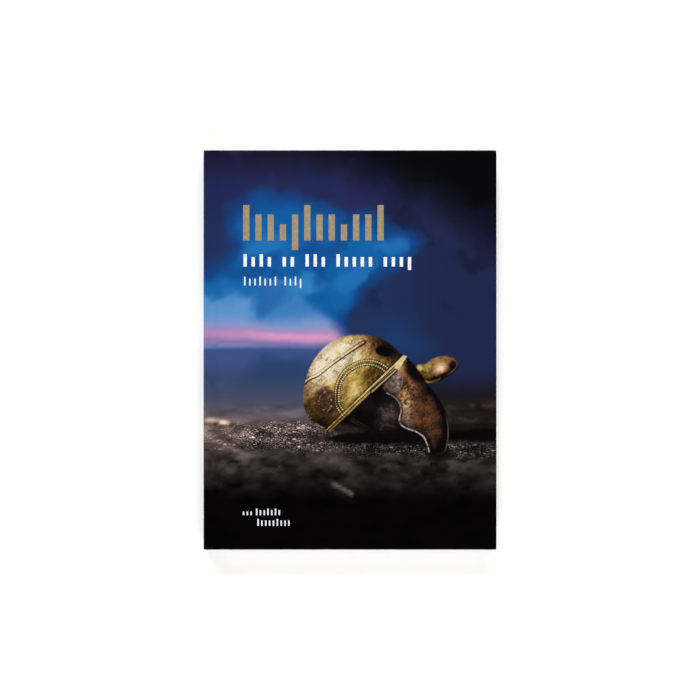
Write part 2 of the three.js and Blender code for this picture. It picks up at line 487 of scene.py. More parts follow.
def raised(distance, half_width, height):
    """The relief of a round rib along a line."""
    return height * np.sqrt(np.clip(1.0 - (distance / half_width) ** 2, 0.0, 1.0))


def slopes(relief, x, y):
    """How steeply a relief in mm climbs along x and along y."""
    slope_y, slope_x = np.gradient(relief, y[:, 0], x[0, :])
    return slope_x, slope_y


def lit(normal, relief, x, y):
    """How squarely a surface faces the light, after a relief in mm is added to it."""
    slope_x, slope_y = slopes(relief, x, y)
    bent = np.stack([normal[0] - slope_x, normal[1] - slope_y, normal[2]])
    return np.tensordot(KEY_LIGHT, bent, axes=1) / (np.linalg.norm(bent, axis=0) + 1e-9)


def cushion(x, y, inside, width):
    """The normal of a sheet whose rim rounds off over a width inside its outline."""
    lift = width * np.sqrt(1.0 - (1.0 - np.clip(inside / width, 0.0, 1.0)) ** 2)
    slope_x, slope_y = slopes(lift, x, y)
    return -slope_x, -slope_y, np.ones_like(x)


def grey(strength):
    """A brightness at each point, ready to multiply a colour."""
    return np.asarray(strength)[..., None]


def cut_out(picture, colour, inside):
    """Lays a painted part on the picture inside its outline, with a slightly soft edge."""
    return mix(picture, colour, smooth(-OUTLINE_BLUR, OUTLINE_BLUR, inside))


def paint_far_guard(picture, x, y):
    """The neck guard that sticks out on the right, behind everything else."""
    inside = depth_inside(x, y, curve_through(FAR_GUARD_OUTLINE, closed=True))
    grain = noise(x, y, 2.6, 4, 301)
    fine = noise(x, y, 0.9, 2, 305)
    facing = lit(cushion(x, y, inside, 6.0), 0.16 * grain, x, y)
    lower_edge = distance_from(x, y, [(46.0, -20.0), (53.5, -22.0), (59.4, -20.2), (66.0, -17.0)])
    edge_light = smooth(1.5, 0.3, lower_edge + 0.6 * fine) * smooth(67.0, 58.0, x)
    tone = 0.12 + 0.50 * facing + 0.14 * grain + 0.14 * fine + spots(x, y, [
        (0.60, (61.4, -12.2), (6.0, 4.8), 28.0, 1.2, 0.0),
        (0.26, (47.6, -12.4), (3.0, 2.4), 0.0, 1.0),
        (-0.16, (46.0, -15.8), (6.0, 3.0), 10.0, 1.2, 0.3),
        (-0.30, (70.0, -10.6), (3.6, 5.0), 30.0, 1.2, 0.3),
    ])
    tone = np.clip(tone + 0.60 * edge_light - 0.16 * smooth(3.4, 1.6, lower_edge), 0.0, 1.0)
    greenish = ramp(tone, BRASS) * rgb(232, 238, 222)
    colour = mix(ramp(tone, BRONZE), greenish, 0.45 + 0.4 * smooth(62.0, 50.0, x))
    colour = mix(colour, ramp(tone, ROSY_METAL), 0.8 * spot(x, y, (61.6, -12.2), (7.0, 5.4), 28.0, 1.2))
    right_edge = smooth(0.9, 0.2, np.abs(inside - 1.1)) * smooth(62.0, 70.0, x)
    colour = mix(colour, rgb(150, 122, 84), 0.5 * right_edge)
    return cut_out(picture, colour, inside)


def paint_cavity(picture, x, y):
    """The dark inside of the helmet, between the rim and the cheek guard."""
    inside = depth_inside(x, y, curve_through(CAVITY_OUTLINE, closed=True))
    far_wall = spot(x, y, (26.0, -44.0), (10.0, 12.5), -18.0, 1.25)
    upper_wall = spot(x, y, (12.0, -36.0), (7.0, 8.0), 40.0, 1.2, 0.3)
    mottle = noise(x, y, 3.6, 4, 331)
    fine = noise(x, y, 1.0, 2, 335)
    tone = 0.06 + 0.46 * far_wall + 0.14 * upper_wall
    tone = tone + 0.20 * mottle * (0.3 + far_wall) + 0.16 * fine * far_wall
    tone = tone + 0.3 * far_wall * fleck(x, y, 1.1, 0.12, 337)
    picture = mix(picture, ramp(np.clip(tone, 0.0, 1.0), DARK_METAL), smooth(-1.2, 1.0, inside))

    ground = smooth(2.0, -2.0, y + 50.5 + 0.18 * (x + 4.0)) * smooth(14.0, 4.0, x) * smooth(-14.0, -8.0, x)
    ground = ground * smooth(-57.5, -55.0, y)
    picture = mix(picture, rgb(70, 58, 60) * grey(0.9 + 0.5 * fine), 0.55 * ground)
    strap = distance_from(x, y, [(1.6, -47.4), (8.0, -51.0), (14.0, -54.6), (18.6, -59.6)])
    strap_light = smooth(0.5, 0.15, np.abs(strap - 0.75)) * smooth(20.0, 2.0, x) * (0.6 + 0.4 * fine)
    hook = distance_from(x, y, [(20.5, -54.0), (22.0, -51.4), (26.0, -50.6), (30.0, -52.0)])
    return lay(picture, [
        ((10, 7, 7), 0.95 * smooth(1.5, 0.9, strap)),
        ((120, 100, 74), 0.55 * strap_light),
        ((126, 108, 104), 0.22 * smooth(1.0, 0.2, hook + 0.5 * fine)),
    ])


def paint_cheek_guard(picture, x, y):
    """The near cheek guard, which hangs from the rim to the ground."""
    inside = depth_inside(x, y, curve_through(CHEEK_INNER + CHEEK_OUTER, steps=6, closed=True))
    pitting = noise(x, y, 1.4, 3, 351)
    clouds = noise(x, y, 6.5, 4, 371)
    fine = noise(x, y, 0.8, 2, 355)
    facing = lit(cushion(x, y, inside, 8.0), 0.16 * pitting + 0.05 * fine, x, y)
    tone = 0.12 + 0.52 * facing + 0.20 * clouds + 0.10 * fine + spots(x, y, [
        (0.38, (36.5, -34.0), (6.5, 13.0), 10.0),
        (-0.12, (48.0, -30.0), (7.0, 10.0), 30.0, 1.3, 0.3),
        (-0.40, (42.6, -13.6), (5.0, 11.0), 36.0, 1.25, 0.5),
    ])
    tone = tone - 0.14 * smooth(43.0, 58.0, x + 0.2 * (y + 44.0)) * smooth(-22.0, -34.0, y)
    tone = tone - 0.34 * smooth(-54.0, -68.0, y)
    tone = tone - 0.24 * smooth(5.0, 1.0, inside) * smooth(46.0, 54.0, x) * smooth(-18.0, -30.0, y)
    tone = np.clip(tone, 0.0, 1.0)

    warm = spot(x, y, (50.0, -42.0), (12.0, 22.0), 22.0, 1.2, 0.3) * (0.55 + 0.45 * smooth(-0.3, 0.4, clouds))
    orange = smooth(-0.05, 0.35, noise(x, y, 4.2, 3, 361))
    orange = orange * spot(x, y, (46.5, -50.0), (9.0, 8.0), 30.0, 1.2, 0.4)
    dull = spot(x, y, (38.6, -46.0), (5.0, 9.0), 8.0, 1.25, 0.5)
    pits = fleck(x, y, 1.0, 0.24, 391) * spot(x, y, (44.0, -41.0), (15.0, 26.0), 26.0, 1.5, 0.6)
    colour = mix(ramp(tone, BRONZE), ramp(tone, WARM_METAL), 0.35 * warm)
    colour = mix(colour, rgb(196, 116, 40) * grey(0.75 + 0.35 * fine), 0.42 * orange)
    colour = mix(colour, rgb(124, 108, 104) * grey(0.82 + 0.5 * pitting), 0.45 * dull)
    colour = mix(colour, rgb(24, 14, 12), 0.66 * pits)
    colour = mix(colour, rgb(196, 168, 146), 0.40 * fleck(x, y, 1.0, 0.14, 395) * smooth(50.0, 40.0, x))
    picture = cut_out(picture, colour, inside)

    # The round ear plate.
    ear = oval(x, y, (28.8, -21.8), (6.6, 8.0), -34.0)
    ear_tone = 0.72 + 0.55 * noise(x, y, 1.8, 3, 411) + 0.10 * smooth(1.0, 0.2, ear)
    ear_light = 0.68 + 0.55 * smooth(25.0, 33.0, x)
    picture = mix(picture, rgb(132, 116, 104) * grey(ear_tone * ear_light), 0.88 * smooth(1.06, 0.90, ear))
    outer_ring = smooth(0.09, 0.02, np.abs(ear - 0.95)) * smooth(27.0, 31.0, x)
    inner_ring = smooth(0.10, 0.03, np.abs(ear - 0.62)) * (0.5 + 0.5 * pitting)

    # The edges: a bright line along the inner one, and dark where the guard meets the ground.
    inner_edge = distance_from(x, y, CHEEK_INNER, steps=6)
    back_edge = distance_from(x, y, CHEEK_BACK_EDGE, steps=6)
    picture = lay(picture, [
        ((178, 158, 144), 0.40 * outer_ring),
        ((190, 168, 156), 0.35 * inner_ring),
        ((34, 22, 20), 0.55 * smooth(2.2, 1.1, inner_edge) * (inside > 0)),
    ])
    glow = 0.70 + 0.30 * smooth(-38.0, -48.0, y)
    rim_line = smooth(0.58, 0.05, inner_edge) * smooth(-0.9, 0.1, pitting)
    picture = mix(picture, rgb(250, 230, 218) * grey(glow), 0.95 * rim_line)
    back_light = smooth(0.6, 0.15, np.abs(back_edge - 0.8)) * (inside > 0) * smooth(-40.0, -50.0, y)
    return lay(picture, [
        ((140, 120, 106), 0.55 * back_light),
        ((16, 10, 9), 0.9 * spot(x, y, (59.0, -72.0), (9.0, 4.0), 8.0, 1.3, 0.4, 0.25 * pitting)),
    ])


def turned_to_rim(x, y):
    """A point's place along the rim, and how far behind it the point lies."""
    dx = x - RIM_MIDDLE[0]
    dy = y - RIM_MIDDLE[1]
    return (
        dx * math.cos(RIM_TURN) + dy * math.sin(RIM_TURN),
        dy * math.cos(RIM_TURN) - dx * math.sin(RIM_TURN),
    )


def bowl_normal(u, v):
    """The normal of a round bowl behind the rim, from a point's place along and behind the rim."""
    power = BOWL_SQUARENESS
    ru = np.abs(u) / BOWL_HALF_WIDTH
    rv = np.clip(v, 0.0, None) / BOWL_DEPTH
    reach = (ru**power + rv**power) ** (1.0 / power)
    lean = np.clip(reach, 0.0, 0.985) ** 1.35
    gu = np.sign(u) * ru ** (power - 1.0) / BOWL_HALF_WIDTH
    gv = rv ** (power - 1.0) / BOWL_DEPTH
    size = np.hypot(gu, gv) + 1e-9
    gu, gv = gu / size * lean, gv / size * lean
    return (
        gu * math.cos(RIM_TURN) - gv * math.sin(RIM_TURN),
        gu * math.sin(RIM_TURN) + gv * math.cos(RIM_TURN),
        np.sqrt(1.0 - lean**2),
    )


def paint_bowl(picture, x, y):
    """The bowl, with a rib, a beaded arch, a worn boss, a hole and a rim."""
    u, v = turned_to_rim(x, y)
    grain = noise(x, y, 1.3, 3, 431)
    fine = noise(x, y, 0.75, 2, 435)
    wide = noise(x, y, 9.0, 4, 451)
    dents = noise(x, y, 4.4, 4, 471)
    rib = distance_from(x, y, RIB)
    relief = raised(rib, 0.95, 0.8) + 0.12 * grain + 0.34 * dents + 0.04 * fine
    facing = np.clip(lit(bowl_normal(u, v), relief, x, y), 0.0, 1.0)

    # Light and shade.
    tone = 0.07 + 0.62 * facing**1.3 + 0.30 * facing**8.0
    tone = tone + 0.10 * wide + 0.07 * grain + 0.09 * fine + spots(x, y, [
        (0.30, (3.5, -26.0), (5.5, 11.0), -28.0, 1.3, 0.1),
        (0.16, (-13.5, -20.0), (5.0, 9.0), -38.0, 1.3, 0.1),
        (0.12, (-23.0, -13.0), (6.0, 10.0), -30.0, 1.3, 0.1),
        (0.16, (-2.0, -41.0), (4.0, 5.0), 40.0, 1.3, 0.1),
        (-0.24, (15.0, -17.6), (11.0, 6.5), 24.0),
        (-0.22, (24.0, 2.0), (13.0, 7.0), -40.0, 1.4, 0.3),
    ])
    tone = tone + 0.12 * smooth(23.0, 27.0, v) * smooth(16.0, -6.0, u) - 0.08 * smooth(-40.0, -53.0, y)
    tone = tone + 0.14 * smooth(0.7, 0.1, rib) - 0.42 * smooth(0.60, 0.10, np.abs(rib - 1.15))

    # Two rows of beads along the arch, and the two ridges and two hollows of the rim.
    for scale in (1.0, ARCH_SHRINK):
        row = ARCH_MIDDLE + (np.array(ARCH) - ARCH_MIDDLE) * scale
        distance, along = distance_along(x, y, curve_through(row))
        knob = np.hypot(distance, np.mod(along, BEAD_PITCH) - BEAD_PITCH / 2.0)
        tone = tone - 0.46 * smooth(1.35, 0.75, distance)
        tone = mix_value(tone, 0.74 + 0.24 * facing, smooth(0.80, 0.30, knob))
    rim_glow = 0.55 + 0.30 * smooth(-30.0, 20.0, u)
    for level, gain in ((1.5, 1.0), (-0.3, 0.85)):
        tone = mix_value(tone, rim_glow * gain + 0.16 * fine, smooth(0.70, 0.25, np.abs(v - level)))
    for level in (2.6, 0.6):
        tone = tone - 0.40 * smooth(0.50, 0.10, np.abs(v - level))
    tone = np.clip(tone, 0.0, 1.0)

    # Above the rib the metal is pale and dusty, and brown towards the hole.
    above = smooth(-1.0, 1.0, v - 24.0 + 0.05 * (u + 20.0)) * smooth(24.0, 2.0, u)
    brown = spot(x, y, (18.0, 3.0), (18.0, 8.0), -24.0, 1.4, 0.4, -0.3 * wide)
    olive = smooth(0.0, 0.5, dents + 0.5 * grain) * smooth(24.0, 12.0, v)
    speckled = fleck(x, y, 0.80, 0.20, 491) * (0.25 + 0.75 * smooth(21.0, 26.0, v))
    colour = mix(ramp(tone, BRASS), ramp(tone, DUSTY_METAL), 0.75 * above)
    colour = mix(colour, ramp(tone, BRONZE), 0.75 * brown)
    colour = mix(colour, colour * rgb(206, 196, 120), 0.8 * olive)
    colour = mix(colour, colour * 0.35, 0.45 * speckled)
    colour = mix(colour, colour * rgb(226, 200, 150), 0.7 * above * smooth(-0.1, 0.5, dents - 0.4 * grain))
    colour = mix(colour, rgb(255, 246, 214), 0.55 * fleck(x, y, 1.0, 0.12, 495) * smooth(0.45, 0.8, tone))

    # The worn boss with its studs, the hole, and the pale rim.
    boss = oval(x, y, (-16.6, -34.6), (7.8, 11.4), 12.0)
    worn = smooth(1.15, 0.75, boss - 0.20 * wide - 0.15 * dents)
    boss_tone = np.clip(0.20 + 0.26 * facing + 0.22 * dents + 0.16 * grain + 0.16 * fine, 0.0, 1.0)
    colour = mix(colour, ramp(boss_tone, BRONZE) * rgb(222, 214, 226), 0.88 * worn)
    studs = smooth(0.12, 0.03, np.abs(boss - 0.55 - 0.10 * dents)) * smooth(0.15, 0.50, fine + grain)
    hole = oval(x, y, (22.2, -1.2), (6.0, 3.3), -14.0) + 0.40 * noise(x, y, 4.0, 3, 511)
    pale_rim = smooth(3.0, 2.4, np.abs(v)) * smooth(0.45, 0.75, tone)

    # The bowl's outer edge: dark on the right, and catching the light low on the left.
    shell = depth_inside(x, y, curve_through(BOWL_OUTLINE))
    dark_side = smooth(0.0, 8.0, v) * smooth(-8.0, 10.0, x)
    edge_light = smooth(0.9, 0.2, np.abs(shell - 0.8)) * smooth(-40.0, -46.0, y) * smooth(1.0, 4.0, v)
    edge_light = edge_light * smooth(-0.1, 0.4, fine + grain)
    colour = lay(colour, [
        ((206, 182, 160), 0.6 * studs),
        ((10, 7, 8), smooth(1.10, 0.90, hole)),
        ((226, 208, 164), 0.5 * pale_rim),
        ((36, 26, 14), 0.45 * smooth(1.6, 0.2, shell) * dark_side),
        ((214, 190, 160), 0.6 * edge_light),
    ])
    rim_strip = np.minimum(RIM_HALF_WIDTH - np.abs(v), RIM_HALF_LENGTH - np.abs(u))
    return cut_out(picture, colour, np.maximum(shell, rim_strip))


def paint_peak(picture, x, y):
    """The brow peak: a bright wedge at the top of the rim, and the strip below it."""
    strip, _ = distance_along(x, y, np.array([(14.8, -28.2), (31.0, -13.6)]))
    picture = lay(picture, [
        ((30, 20, 14), 0.9 * smooth(1.7, 1.1, strip)),
        ((208, 186, 138), 0.9 * smooth(0.70, 0.2, strip)),
    ])
    shade = 0.76 + 0.22 * noise(x, y, 2.0, 3, 531) + 0.05 * (y + 9.0) / 4.0
    colour = mix(ramp(np.clip(shade, 0.0, 1.0), BRASS), rgb(226, 214, 184), 0.55)
    return cut_out(picture, colour, depth_inside(x, y, np.array(PEAK_OUTLINE)))


def paint_shadow(picture, x, y):
    """The helmet's shadow on the ground, ragged at its edges."""
    ragged = 0.22 * noise(x, y, 5.0, 3, 551)
    under = spot(x, y, (17.0, -59.6), (41.0, 3.9), 0.0, 1.25, 0.7, ragged)
    right = spot(x, y, (92.0, -57.4), (34.0, 4.6), 1.0, 1.3, 0.6, ragged)
    foot = spot(x, y, (60.0, -68.5), (10.0, 3.0), 0.0, 1.3, 0.4, ragged)
    return mix(picture, rgb(6, 3, 4), 0.95 * np.maximum.reduce([under, right, foot]))


def paint_background(x, y):
    """Sky, ground and shadow: red, green, blue, and how gritty the ground is there."""
    colour = mix(paint_sky(x, y), paint_ground(x, y), ground_cover(x, y))
    picture = paint_litter(np.concatenate([colour, grey(ground_grit(x, y))], axis=-1), x, y)
    return paint_shadow(picture, x, y)


def paint_picture(x, y):
    """The whole picture on a grid of points, as rows and columns."""
    picture = paint_background(x, y)
    for paint in (paint_far_guard, paint_cavity, paint_cheek_guard, paint_bowl, paint_peak):
        picture = paint(picture, x, y)
    return picture


# ---------------------------------------------------------------- making pieces


def store(mesh, name, kind, values):
    """Keeps one value for each point of a mesh, for a material to read."""
    field = {"FLOAT": "value", "FLOAT_VECTOR": "vector", "FLOAT_COLOR": "color"}[kind]
    attribute = mesh.attributes.new(name, kind, "POINT")
    attribute.data.foreach_set(field, np.ascontiguousarray(values, dtype=np.float32).ravel())


def make_piece(name, points, faces, material, smooth=True):
    """A new object from points in millimetres."""
    mesh = bpy.data.meshes.new(name)
    mesh.from_pydata(np.asarray(points) * MM, [], faces)
    mesh.polygons.foreach_set("use_smooth", [smooth] * len(mesh.polygons))
    mesh.materials.append(material)
    piece = bpy.data.objects.new(name, mesh)
    bpy.context.scene.collection.objects.link(piece)
    return piece


def print_on(piece, sheet, painted=None):
    """Prints the case's picture on a piece whose points lie at these places on the flat sheet."""
    if painted is None:
        painted = paint_background(sheet[:, 0], sheet[:, 1])
    colour = linear(np.clip(painted[:, :3], 0.0, 1.0))
    store(piece.data, "picture", "FLOAT_COLOR", np.hstack([colour, np.ones((len(colour), 1))]))
    store(piece.data, "grit", "FLOAT", painted[:, 3])
    store(piece.data, "sheet", "FLOAT_VECTOR", np.hstack([sheet, np.zeros((len(sheet), 1))]))


def grid_lines(low, high, step, fine_low=None, fine_high=None, fine_step=None):
    """Places of grid lines from low to high, closer together between two of the places."""
    stretches = [(low, high, step)]
    if fine_low is not None:
        stretches = [(low, fine_low, step), (fine_low, fine_high, fine_step), (fine_high, high, step)]
    lines = [
        np.linspace(start, end, max(1, round((end - start) / spacing)), endpoint=False)
        for start, end, spacing in stretches
    ]
    return np.append(np.concatenate(lines), high)


def grid(xs, ys):
    """A grid's points as x and y, the numbers of the points round its edge, and its faces."""
    across, along = np.meshgrid(xs, ys)
    index = np.arange(across.size).reshape(across.shape)
    ring = np.concatenate([index[0, :-1], index[:-1, -1], index[-1, :0:-1], index[:0:-1, 0]])
    quads = np.stack([index[:-1, :-1], index[:-1, 1:], index[1:, 1:], index[1:, :-1]], axis=-1)
    return np.column_stack([across.ravel(), along.ravel()]), ring, quads.reshape(-1, 4)


def belt(above, below):
    """The faces between two rings of points, each given by its points' numbers."""
    return np.stack([above, below, np.roll(below, -1), np.roll(above, -1)], axis=-1)


def bar_faces(count, rings, first=0, inside_out=False):
    """The faces of a closed bar of rings with count points each: its sides, then its two ends."""
    faces = []
    last = first + (rings - 1) * count
    for start in range(first, last, count):
        for k in range(count):
            after = (k + 1) % count
            faces.append([start + k, start + after, start + count + after, start + count + k])
    faces.append([first + k for k in range(count)][::-1])
    faces.append([last + k for k in range(count)])
    return [face[::-1] for face in faces] if inside_out else faces


def covered_board(low, high, xs, ys, up):
    """A board with rounded edges: a grid on its outer face, rings round its edges, one flat inner face.

    up is 1 where the outer face looks up and -1 where it looks down. It gives the points, the faces,
    each point's place on the flat sheet, and the numbers of the points round the grid's edge.
    """
    flat, ring, quads = grid(xs, ys)
    outer = high[2] if up > 0 else low[2]
    thickness = high[2] - low[2]
    rim = flat[ring]
    outward = (rim == (xs[-1], ys[-1])).astype(float) - (rim == (xs[0], ys[0]))
    outward /= np.linalg.norm(outward, axis=1)[:, None]

    radius = EDGE_ROUNDING
    turns = np.radians([22.5, 45.0, 67.5, 90.0])
    profile = [(radius * math.sin(a), radius * (1.0 - math.cos(a)), radius * a) for a in turns]
    straight = thickness - 2.0 * radius
    for a in np.radians([0.0, 30.0, 60.0, 90.0]):
        depth = thickness - radius + radius * math.sin(a)
        profile.append((radius * math.cos(a), depth, radius * (turns[-1] + a) + straight))

    points = [np.column_stack([flat, np.full(len(flat), outer)])]
    sheet = [flat]
    faces = [quads]
    above = ring
    for number, (out, depth, arc) in enumerate(profile):
        level = np.full(len(rim), outer - up * depth)
        points.append(np.column_stack([rim + outward * out, level]))
        sheet.append(rim + outward * arc)
        below = len(flat) + number * len(ring) + np.arange(len(ring))
        faces.append(belt(above, below))
        above = below
    faces = np.concatenate(faces)[:, ::up]
    return np.concatenate(points), faces.tolist() + [above[::-up].tolist()], np.concatenate(sheet), ring


def sweep(profile, stations):
    """A closed bar: a closed profile in x and z carried along y through stations of (place, inset)."""
    x, z = profile[:, 0], profile[:, 1]
    ahead = np.roll(profile, -1, axis=0) - np.roll(profile, 1, axis=0)
    ahead /= np.linalg.norm(ahead, axis=1)[:, None] + 1e-12
    anticlockwise = np.sum(x * np.roll(z, -1) - np.roll(x, -1) * z) > 0
    outward = np.column_stack([ahead[:, 1], -ahead[:, 0]]) * (1.0 if anticlockwise else -1.0)
    rings = []
    for place, inset in stations:
        drawn = profile - outward * inset
        rings.append(np.column_stack([drawn[:, 0], np.full(len(profile), place), drawn[:, 1]]))
    return np.concatenate(rings), bar_faces(len(profile), len(stations), inside_out=anticlockwise)


def rounded_stations(low, high, step, rounding):
    """Stations along a bar whose two ends round off."""
    angles = np.radians([90.0, 60.0, 30.0])
    ends = [(rounding * (1.0 - math.sin(a)), rounding * (1.0 - math.cos(a))) for a in angles]
    first = [(low + back, inset) for back, inset in ends]
    last = [(high - back, inset) for back, inset in reversed(ends)]
    return first + [(place, 0.0) for place in grid_lines(low + rounding, high - rounding, step)] + last


# ---------------------------------------------------------------- materials

PRINT_EXPOSURE = 0.88


class Nodes:
    """A material's node tree, with short ways to add the nodes that the finishes need."""

    def __init__(self, name):
        self.material = bpy.data.materials.new(name)
        self.material.use_nodes = True
        self.tree = self.material.node_tree
        self.tree.nodes.clear()
        self.shader = self.add("BsdfPrincipled")
        self.add("OutputMaterial", self.shader.outputs["BSDF"])

    def put(self, socket, value):
        """Links a socket's value, or sets a plain one."""
        if isinstance(value, bpy.types.NodeSocket):
            self.tree.links.new(value, socket)
        else:
            socket.default_value = value

    def add(self, kind, *values):
        """A new node, with its first sockets filled."""
        node = self.tree.nodes.new("ShaderNode" + kind)
        for socket, value in zip(node.inputs, values):
            self.put(socket, value)
        return node

    def math(self, operation, *values):
        """A sum on plain values."""
        node = self.add("Math", *values)
        node.operation = operation
        return node.outputs[0]

    def step(self, value, low, high, start=0.0, end=1.0):
        """A soft step from start to end as the value goes from low to high."""
        node = self.add("MapRange", value, low, high, start, end)
        node.interpolation_type = "SMOOTHSTEP"
        return node.outputs[0]

    def noise(self, vector, scale, detail=3.0, roughness=0.55):
        """Smooth noise from 0 to 1."""
        node = self.add("TexNoise", vector)
        node.inputs["Scale"].default_value = scale
        node.inputs["Detail"].default_value = detail
        node.inputs["Roughness"].default_value = roughness
        return node.outputs["Fac"]

    def cells(self, vector, scale):
        """Cells: the distance from each one's middle, a number of its own, and the height in it."""
        node = self.add("TexVoronoi", vector)
        node.inputs["Scale"].default_value = scale
        own = self.add("SeparateColor", node.outputs["Color"])
        above = self.math("SUBTRACT", self.parts(vector)[1], self.parts(node.outputs["Position"])[1])
        return node.outputs["Distance"], own.outputs[0], self.math("MULTIPLY", above, scale)

    def stored(self, name, output="Vector"):
        """A value that store() kept on the mesh."""
        node = self.add("Attribute")
        node.attribute_name = name
        return node.outputs[output]

    def here(self):
        """The point's place on the object, in metres."""
        return self.add("TexCoord").outputs["Object"]

    def parts(self, vector):
        """A vector's x, y and z."""
        return self.add("SeparateXYZ", vector).outputs

    def join(self, x, y, z):
        """A vector from its x, y and z."""
        return self.add("CombineXYZ", x, y, z).outputs[0]

    def scaled(self, vector, amounts):
        """A vector stretched along x, y and z."""
        node = self.add("VectorMath", vector, amounts)
        node.operation = "MULTIPLY"
        return node.outputs[0]

    def mixed(self, factor, under, over, way="MIX"):
        """One colour mixed into another."""
        node = self.tree.nodes.new("ShaderNodeMix")
        node.data_type = "RGBA"
        node.blend_type = way
        node.clamp_factor = True
        self.put(node.inputs["Factor"], factor)
        self.put(node.inputs[6], under)
        self.put(node.inputs[7], over)
        return node.outputs[2]

    def dimmed(self, colour, share):
        """A colour times one value."""
        return self.mixed(1.0, colour, self.join(share, share, share), "MULTIPLY")

    def bump(self, height, strength, distance_mm):
        """Fine relief in the surface's light and shade."""
        node = self.tree.nodes.new("ShaderNodeBump")
        node.inputs["Strength"].default_value = strength
        node.inputs["Distance"].default_value = distance_mm * MM
        self.put(node.inputs["Height"], height)
        self.put(self.shader.inputs["Normal"], node.outputs["Normal"])

    def finish(self, colour, roughness, specular=0.5):
        """Sets the surface, and gives the finished material."""
        self.put(self.shader.inputs["Base Color"], colour)
        self.put(self.shader.inputs["Roughness"], roughness)
        self.shader.inputs["Specular IOR Level"].default_value = specular
        return self.material


def ink(red, green, blue):
    """A linear colour for a socket, from 0 to 255 values."""
    return (*linear(rgb(red, green, blue)), 1.0)


def gravel(nodes, sheet, painted):
    """Sharp stones on the picture's ground, lit from above, as strong as "grit" says."""
    flat = nodes.scaled(sheet, (0.8, 1.35, 1.0))
    stones = nodes.step(nodes.noise(flat, 1.1, 2.0, 0.7), 0.42, 0.60, 0.04, 1.15)
    for scale, rarity, gain in ((0.85, 4.0, 5.5), (0.40, 7.0, 6.5)):
        distance, own, height = nodes.cells(flat, scale)
        top = nodes.math("MULTIPLY", nodes.step(distance, 0.60, 0.25), nodes.step(height, -0.30, 0.25))
        bright = nodes.math("MULTIPLY", top, nodes.math("POWER", own, rarity))
        stones = nodes.math("MULTIPLY_ADD", bright, gain, stones)
    clumps = nodes.noise(nodes.scaled(sheet, (0.09, 0.20, 1.0)), 1.0, 3.0, 0.6)
    stones = nodes.math("MULTIPLY", stones, nodes.step(clumps, 0.36, 0.64, 0.55, 1.45))
    change = nodes.math("SUBTRACT", stones, 1.0)
    share = nodes.math("MULTIPLY_ADD", change, nodes.stored("grit", "Fac"), 1.0)
    return nodes.dimmed(painted, nodes.math("MAXIMUM", 0.0, share))


def printed_paper():
    """The printed and laminated covering paper."""
    nodes = Nodes("printed_paper")
    sheet = nodes.stored("sheet")
    colour = gravel(nodes, sheet, nodes.stored("picture", "Color"))
    dots = nodes.step(nodes.noise(sheet, 2.6, 2.0, 0.6), 0.3, 0.7, 0.72, 1.28)
    colour = nodes.mixed(0.55, colour, nodes.dimmed(colour, dots))
    bright = nodes.dimmed(colour, PRINT_EXPOSURE)
    handled = nodes.noise(sheet, 0.03, 4.0, 0.6)
    peel = nodes.noise(sheet, 0.9, 3.0, 0.5)
    nodes.bump(peel, 0.12, 0.02)
    return nodes.finish(bright, nodes.step(handled, 0.3, 0.75, 0.14, 0.18), 0.3)


def foil(name, colour, darker):
    """Flat ink on the strokes, with the faint mottle of print."""
    nodes = Nodes(name)
    here = nodes.here()
    mottle = nodes.noise(here, 900.0, 3.0, 0.6)
    worn = nodes.noise(here, 90.0, 4.0, 0.6)
    shade = nodes.mixed(nodes.step(mottle, 0.35, 0.7), darker, colour)
    shade = nodes.mixed(nodes.step(worn, 0.62, 0.8, 0.0, 0.25), shade, darker)
    nodes.bump(mottle, 0.1, 0.01)
    return nodes.finish(shade, nodes.step(worn, 0.3, 0.7, 0.34, 0.48), 0.4)


def leaf_paper():
    """Coated book paper. Pictures that run off the leaves leave faint marks on their cut edges."""
    nodes = Nodes("leaf_paper")
    here = nodes.here()
    leaf = nodes.stored("leaf", "Fac")

    def of_leaf(rate, detail):
        """Noise that changes only from leaf to leaf."""
        return nodes.noise(nodes.join(0.0, 0.0, nodes.math("MULTIPLY", leaf, rate)), 1.0, detail)

    x, y, _ = nodes.parts(nodes.scaled(here, (16.0, 16.0, 1.0)))
    place = nodes.join(x, y, nodes.math("MULTIPLY", leaf, 7.31))
    marks = nodes.step(nodes.noise(place, 1.0, 3.0, 0.6), 0.60, 0.66, 0.0, 0.55)
    mark_colour = nodes.mixed(nodes.step(of_leaf(1.71, 0.0), 0.4, 0.6), ink(70, 82, 112), ink(132, 104, 78))
    colour = nodes.mixed(nodes.step(of_leaf(3.17, 1.0), 0.3, 0.7), ink(214, 207, 192), ink(238, 234, 224))
    colour = nodes.mixed(marks, colour, mark_colour)
    fibres = nodes.noise(here, 1500.0, 3.0, 0.6)
    colour = nodes.mixed(nodes.step(fibres, 0.35, 0.7, 0.0, 0.10), colour, ink(176, 166, 148))
    nodes.bump(fibres, 0.15, 0.02)
    return nodes.finish(colour, 0.72, 0.3)


def end_paper():
    """Plain deep blue paper, uncoated, with fine fibres."""
    nodes = Nodes("end_paper")
    here = nodes.here()
    fibres = nodes.noise(nodes.scaled(here, (1.0, 0.35, 1.0)), 1400.0, 4.0, 0.65)
    clouds = nodes.noise(here, 60.0, 3.0, 0.5)
    colour = nodes.mixed(nodes.step(fibres, 0.3, 0.72), ink(22, 30, 58), ink(36, 46, 80))
    colour = nodes.mixed(nodes.step(clouds, 0.35, 0.7, 0.0, 0.35), colour, ink(26, 36, 68))
    nodes.bump(fibres, 0.25, 0.03)
    return nodes.finish(colour, 0.82, 0.25)


